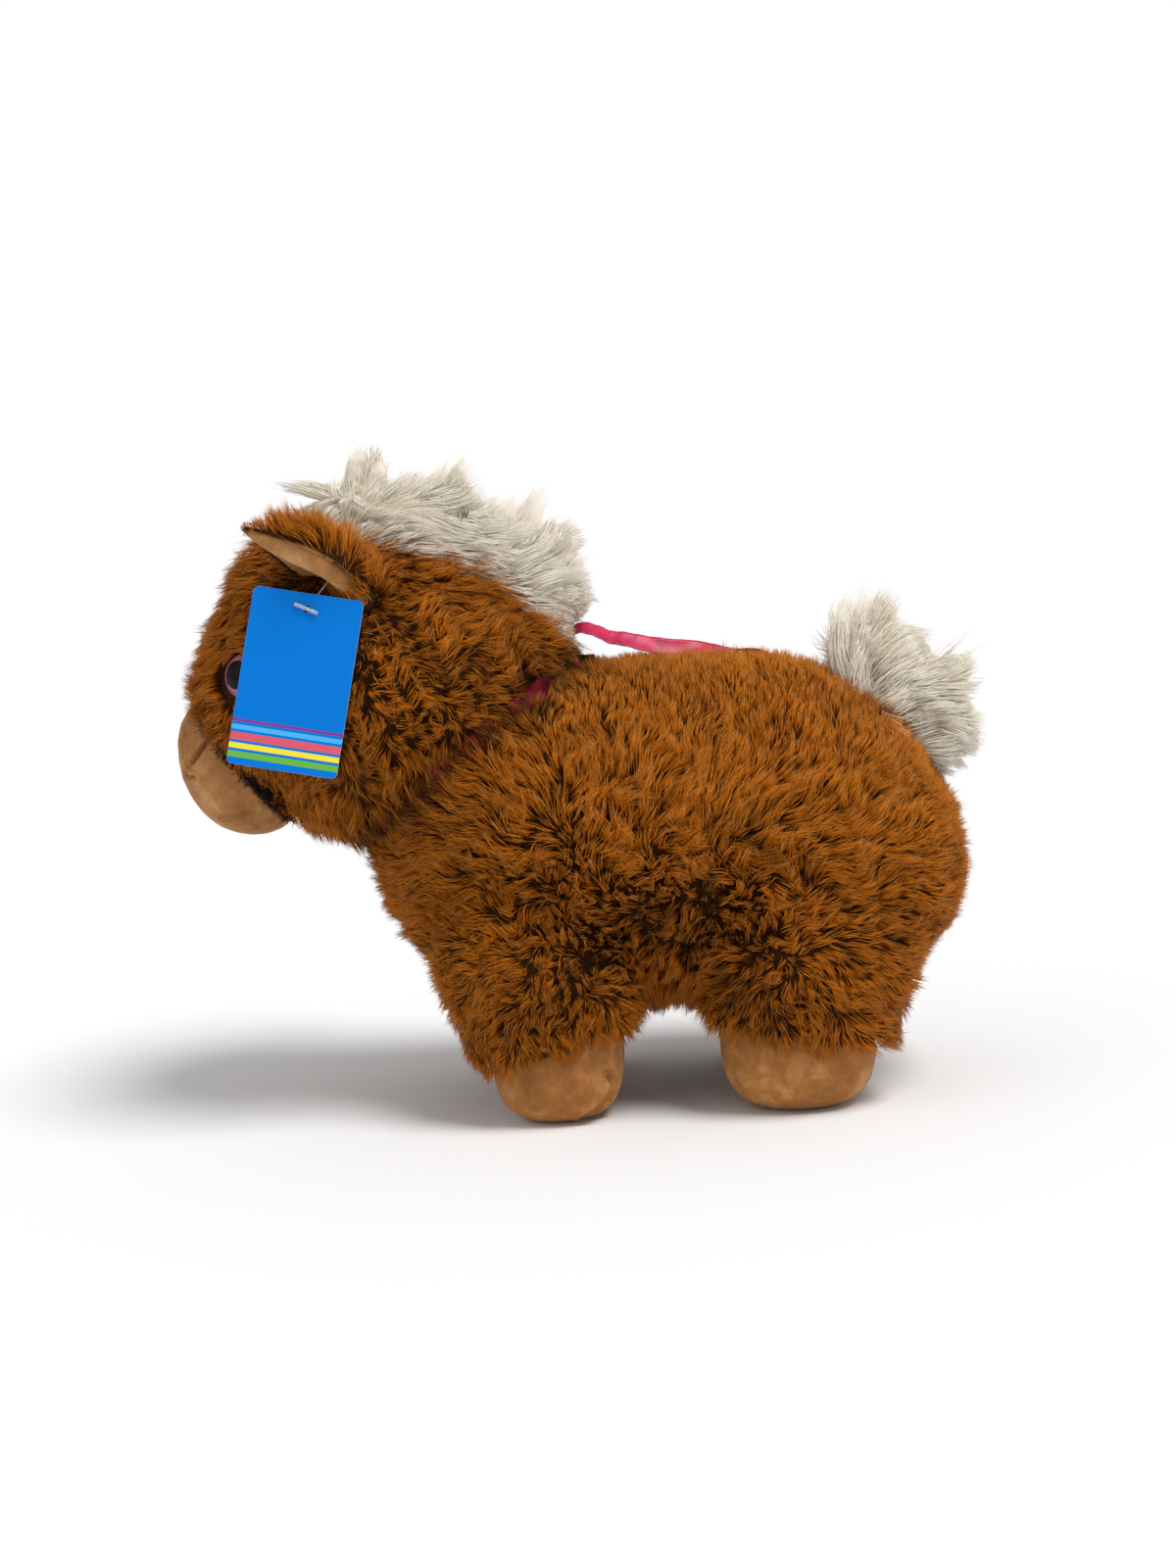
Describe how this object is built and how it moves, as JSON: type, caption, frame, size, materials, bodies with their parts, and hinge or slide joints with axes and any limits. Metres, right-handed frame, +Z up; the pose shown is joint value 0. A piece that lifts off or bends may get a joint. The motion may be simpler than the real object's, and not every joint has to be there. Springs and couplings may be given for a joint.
{
  "type": "plush pony",
  "caption": "Standing plush pony of long fur with short-plush muzzle and hooves, lined ears, white mane and tail, plastic eyes, a neck ribbon and a swing tag on one ear.",
  "frame": {"origin": "middle of the object's box, on the floor under the hooves", "axes": "+X towards the tail, +Y towards the far side, +Z up"},
  "size_m": [0.4188, 0.1776, 0.3383],
  "materials": {
    "chestnut_fur": "long chestnut pile, clumped, lighter at the tips",
    "tan_plush": "short brushed tan plush",
    "white_pile": "long silky off-white pile",
    "eye_plastic": "glossy mauve ring round a black pupil",
    "washer_plastic": "plain moulded",
    "crimson_satin": "satin ribbon with a sheen",
    "blue_card": "coated blue card with plain coloured bands",
    "clear_nylon": "clear moulded nylon"
  },
  "bodies": {
    "body": {"body": "chestnut_fur", "front_leg_near": "chestnut_fur", "front_leg_far": "chestnut_fur", "hind_leg_near": "chestnut_fur", "hind_leg_far": "chestnut_fur", "front_hoof_near": "tan_plush", "front_hoof_far": "tan_plush", "hind_hoof_near": "tan_plush", "hind_hoof_far": "tan_plush", "ribbon_collar": "crimson_satin", "ribbon_knot": "crimson_satin", "ribbon_back_end": "crimson_satin", "ribbon_side_end": "crimson_satin"},
    "head": {"head": "chestnut_fur", "muzzle": "tan_plush", "mane": "white_pile", "eye_near": "eye_plastic", "eye_far": "eye_plastic", "eye_washer_near": "washer_plastic", "eye_washer_far": "washer_plastic"},
    "ear_near": {"ear_back_near": "chestnut_fur", "ear_lining_near": "tan_plush"},
    "ear_far": {"ear_back_far": "chestnut_fur", "ear_lining_far": "tan_plush"},
    "tail": {"tail": "white_pile"},
    "fastener": {"tag_fastener": "clear_nylon"},
    "tag": {"swing_tag": "blue_card"}
  },
  "joints": [
    {"name": "head_turn", "type": "hinge", "parent": "body", "child": "head", "pos_m": [-0.06376, 0, 0.1796], "axis": [-0.5906, 0, 0.807], "range_deg": [-12, 12], "stiffness_Nm_per_rad": 0.5},
    {"name": "ear_near_flop", "type": "hinge", "parent": "head", "child": "ear_near", "pos_m": [-0.10205, -0.06238, 0.26018], "axis": [0, 1, 0], "range_deg": [-5, 20], "stiffness_Nm_per_rad": 0.2},
    {"name": "ear_far_flop", "type": "hinge", "parent": "head", "child": "ear_far", "pos_m": [-0.10205, 0.06238, 0.26018], "axis": [0, 1, 0], "range_deg": [-5, 20], "stiffness_Nm_per_rad": 0.2},
    {"name": "tail_lift", "type": "hinge", "parent": "body", "child": "tail", "pos_m": [0.15505, 0, 0.17596], "axis": [0, 1, 0], "range_deg": [-12, 12], "stiffness_Nm_per_rad": 0.5},
    {"name": "fastener_swing", "type": "hinge", "parent": "ear_near", "child": "fastener", "pos_m": [-0.11022, -0.0601, 0.27917], "axis": [-0.839, 0.235, 0.4909], "range_deg": [0, 12]},
    {"name": "tag_swing", "type": "hinge", "parent": "fastener", "child": "tag", "pos_m": [-0.12739, -0.0764, 0.25764], "axis": [0, -0.9903, 0.1392], "range_deg": [-20, 20]}
  ]
}
